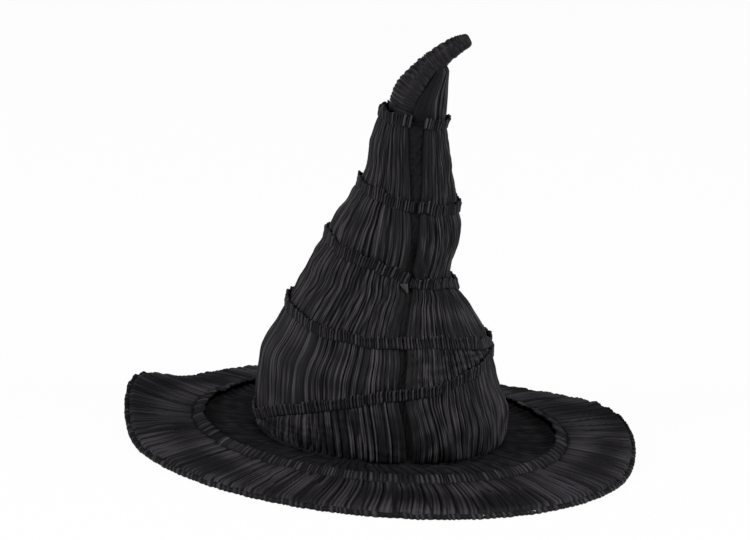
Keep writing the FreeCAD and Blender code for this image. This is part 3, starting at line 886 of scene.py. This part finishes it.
def brim_hem():
    """The rolled edge over the wire, beaded by its gathers."""
    rng = np.random.default_rng(74)
    count, around = 250, 14
    phi = round_angles(count * 6)
    share = (phi + math.pi) / TAU
    turn = np.linspace(-math.pi, math.pi, around)[:, None]
    crest = Folds(rng, count, 0.45, 1.8)(share + 0.0006 * np.sin(turn))
    sway = Waves(rng, 40.0, 0.0)(share, 0)
    size = 2.0 * MM + 0.75 * MM * (crest - 0.45) + 0.15 * MM * sway
    radius = BRIM_RADIUS - EDGE_INSET + size * np.cos(turn)
    up = -EDGE_DROP + size * 1.1 * np.sin(turn) + 0.3 * MM * sway
    points = brim_point(phi + 0 * turn, radius, up)
    plain_size = 2.2 * MM
    plain_radius = BRIM_RADIUS + plain_size * (np.cos(turn) - 1)
    plain = brim_point(phi + 0 * turn, plain_radius, plain_size * np.sin(turn))
    # Painted shade between the beads and painted highlight on them, through the crest values.
    build("brim_hem", points[::-1], (crest + 0 * turn)[::-1], loop_across=True, nodes=["brim_edge"],
          finish=RUCHED, plain=plain[::-1])


def edge_wire():
    """The spring wire that the rolled edge is sewn over."""
    phi = round_angles(360)
    turn = np.linspace(-math.pi, math.pi, 9)[:, None]
    radius = BRIM_RADIUS - EDGE_INSET + WIRE_RADIUS * np.cos(turn)
    up = -EDGE_DROP + WIRE_RADIUS * np.sin(turn)
    points = brim_point(phi + 0 * turn, radius, up)
    build("edge_spring_wire", points[::-1], loop_across=True, nodes=["brim_wire"],
          finish=WIRE)


def brim_underside():
    """The plain cloth under the brim, drawn flat with a stitched row near the hem and the opening."""
    rng = np.random.default_rng(75)
    rows = 90
    phi = round_angles(720)
    share = (phi + math.pi) / TAU
    level = np.linspace(0, 1, rows)[:, None]
    inner = OPENING_RADIUS + 1.3 * MM
    outer = BRIM_RADIUS - 3.0 * MM
    radius = inner + (outer - inner) * level
    out = -3.2 * MM + 0.12 * MM * Waves(rng, 26.0, 1.0)(share, level)
    pucker = 0.0
    for row_radius in (inner + 4 * MM, RIDGE_RADIUS, outer - 5 * MM):
        trough = np.exp(-((radius - row_radius) / (1.1 * MM)) ** 2)
        stitch = 0.5 + 0.5 * np.sin(phi * round(row_radius * TAU / (3.4 * MM)))
        pucker = pucker + trough * (0.3 + 0.5 * stitch)
    out = out + 0.55 * MM * pucker
    crest = 0.55 - 0.35 * pucker + 0.08 * Waves(rng, 26.0, 1.0)(share, level)
    points = brim_point(phi + 0 * level, radius + 0 * phi, out)
    build("brim_under_cloth", points, crest, loop_across=True, nodes=["brim_underside"],
          finish=LINING)


# ---------------------------------------------------------------- inside
LINING_SINK = 6.8 * MM


def crown_lining():
    """The loose lining bag, gathered towards its closed end."""
    rng = np.random.default_rng(81)
    rows, count = 70, 30
    phi = np.linspace(math.pi, -math.pi, count * 10, endpoint=False)[None, :]
    share = (phi + math.pi) / TAU
    low, top = (corner[2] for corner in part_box("crown_lining"))
    level = np.linspace(0, 1, rows)[:, None]
    z = low + (top - 0.5 * MM - low) * np.minimum(level / 0.96, 1)
    crest = Folds(rng, count, 0.5, 2.0)(share + 0 * level)
    gathered = ease(level * 1.2)
    fall = Waves(rng, 9.0, 2.0)(share, level)
    out = -LINING_SINK - 1.6 * MM * gathered * crest - 0.4 * MM * np.abs(fall)
    close = ease((level - 0.96) / 0.04)
    points = crown_point(phi + 0 * level, z + 0 * phi, out + 0 * phi)
    axis = np.stack([outline(1, z) + 0 * phi, 0 * phi + 0 * z, z + 0 * phi], axis=-1)
    points = points + (axis - points) * (close * 0.97)[..., None]
    # Painted shade and highlight that follow the lining's folds.
    build("crown_lining_bag", points, 1 - crest + 0 * level, loop_across=True, nodes=["crown_lining"],
          finish=LINING)


def sweatband():
    """Ribbed tape round the opening, folded at its lower edge and stitched twice."""
    low, high = (corner[2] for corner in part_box("sweatband"))
    rows, columns = 40, 900
    phi = round_angles(columns)
    ribs = 0.12 * MM * np.sin(phi * 300)
    loop = []
    for step in range(rows):
        loop.append((0.0, low + (high - low) * step / (rows - 1)))
    for step in range(rows):
        loop.append((1.15 * MM, high - (high - low) * step / (rows - 1)))
    loop = np.array(loop)
    inward = loop[:, 0][:, None]
    z = loop[:, 1][:, None]
    stitch = np.exp(-((z - low - 2.2 * MM) / (0.5 * MM)) ** 2)
    stitch = stitch + np.exp(-((z - high + 2.2 * MM) / (0.5 * MM)) ** 2)
    dots = 0.5 + 0.5 * np.sin(phi * 200)
    inner_face = (inward == 0)
    radius = OPENING_RADIUS + inward + np.where(inner_face, ribs + stitch * dots * 0.35 * MM, 0.0)
    points = np.stack([radius * np.sin(phi), -radius * np.cos(phi), z + 0 * phi], axis=-1)
    # Painted shade and highlight that follow the ribs; darker at the stitch dots.
    crest = 0.5 + 0.4 * np.sin(phi * 300) - 0.4 * stitch * dots
    build("sweatband_tape", points, crest, loop_across=True, loop_along=True, nodes=["sweatband"],
          finish=TAPE, plain=points[:rows])


for number in range(1, 6):
    for half in ("left", "right"):
        tier(number, half)
        seam_band(number, half)
seam_strip("front")
seam_strip("back")
seam_tab()
tip_cover()
neck_panel()
brim_flounce()
brim_inner_ring()
brim_frill()
brim_hem()
edge_wire()
brim_underside()
crown_lining()
sweatband()


# ---------------------------------------------------------------- stage, light and camera
def plain_white(name, colour, camera_glow):
    """A pale matte surface that the camera sees as plain white."""
    material = bpy.data.materials.new(name)
    material.use_nodes = True
    tree = material.node_tree
    shader = tree.nodes["Principled BSDF"]
    shader.inputs["Roughness"].default_value = 0.9
    shader.inputs["Base Color"].default_value = colour
    path = tree.nodes.new("ShaderNodeLightPath")
    glow = tree.nodes.new("ShaderNodeEmission")
    glow.inputs["Strength"].default_value = camera_glow
    seen = math_node(tree, "MAXIMUM", path.outputs["Is Camera Ray"], path.outputs["Is Glossy Ray"])
    seen = math_node(tree, "MAXIMUM", seen, path.outputs["Is Transmission Ray"])
    mix = tree.nodes.new("ShaderNodeMixShader")
    tree.links.new(math_node(tree, "MULTIPLY", seen, 0.96), mix.inputs[0])
    tree.links.new(shader.outputs[0], mix.inputs[1])
    tree.links.new(glow.outputs[0], mix.inputs[2])
    tree.links.new(mix.outputs[0], tree.nodes["Material Output"].inputs["Surface"])
    return material


def stage():
    """A pale floor that the brim stands on."""
    mesh = bpy.data.meshes.new("floor")
    size = 6.0
    level = cad_box[0][2] - 0.4 * MM
    corners = [(-size, -size, level), (size, -size, level), (size, size, level), (-size, size, level)]
    mesh.from_pydata(corners, [], [(0, 1, 2, 3)])
    floor = bpy.data.objects.new("floor", mesh)
    bpy.context.collection.objects.link(floor)
    mesh.materials.append(plain_white("pale_floor", (0.82, 0.82, 0.82, 1), 1.0))


def world():
    """Even white surroundings, plain white behind the hat."""
    sky = bpy.data.worlds.new("white_surroundings")
    sky.use_nodes = True
    bpy.context.scene.world = sky
    tree = sky.node_tree
    ambient = tree.nodes["Background"]
    ambient.inputs["Color"].default_value = (1, 1, 1, 1)
    ambient.inputs["Strength"].default_value = 0.12
    behind = tree.nodes.new("ShaderNodeBackground")
    behind.inputs["Strength"].default_value = 1.0
    path = tree.nodes.new("ShaderNodeLightPath")
    mix = tree.nodes.new("ShaderNodeMixShader")
    tree.links.new(path.outputs["Is Camera Ray"], mix.inputs[0])
    tree.links.new(ambient.outputs[0], mix.inputs[1])
    tree.links.new(behind.outputs[0], mix.inputs[2])
    tree.links.new(mix.outputs[0], tree.nodes["World Output"].inputs["Surface"])


def soft_lamp(name, place, size, power, aim=(0, 0, 0.12)):
    """A large square lamp aimed at the hat."""
    lamp = bpy.data.lights.new(name, "AREA")
    lamp.shape = "SQUARE"
    lamp.size = size
    lamp.energy = power
    holder = bpy.data.objects.new(name, lamp)
    holder.location = place
    holder.rotation_euler = (Vector(aim) - Vector(place)).to_track_quat("-Z", "Y").to_euler()
    bpy.context.collection.objects.link(holder)


AZIMUTH = math.radians(-11.0)
ELEVATION = math.radians(15.8)
ROLL = math.radians(4.7)
DISTANCE = 12.0
# Width seen at the hat, and how far the head opening's centre lies right of and below the middle.
FIELD = 582.75 * MM
FOOT_RIGHT = 3.885 * MM
FOOT_DOWN = 125.097 * MM


def camera():
    """A long lens, a little above the brim, with the hat leaning slightly in the frame."""
    level = math.cos(ELEVATION)
    back = Vector((math.sin(AZIMUTH) * level, -math.cos(AZIMUTH) * level, math.sin(ELEVATION)))
    right = Vector((math.cos(AZIMUTH), math.sin(AZIMUTH), 0))
    up = back.cross(right)
    view_up = math.cos(ROLL) * up - math.sin(ROLL) * right
    view_right = math.cos(ROLL) * right + math.sin(ROLL) * up
    target = -FOOT_RIGHT * view_right + FOOT_DOWN * view_up
    lens = bpy.data.cameras.new("camera")
    lens.sensor_width = 36.0
    lens.lens = 36.0 * DISTANCE / FIELD
    lens.clip_end = 50.0
    holder = bpy.data.objects.new("camera", lens)
    turn = Matrix((view_right, view_up, back)).transposed().to_4x4()
    holder.matrix_world = Matrix.Translation(target + DISTANCE * back) @ turn
    bpy.context.collection.objects.link(holder)
    bpy.context.scene.camera = holder


stage()
world()
soft_lamp("left_lamp", (-2.6, -1.3, 1.3), 1.0, 86)
soft_lamp("right_lamp", (2.6, -1.2, 1.2), 1.0, 74)
soft_lamp("top_lamp", (0.3, -0.9, 2.8), 1.0, 26)
camera()
bpy.context.scene.view_settings.view_transform = "Standard"
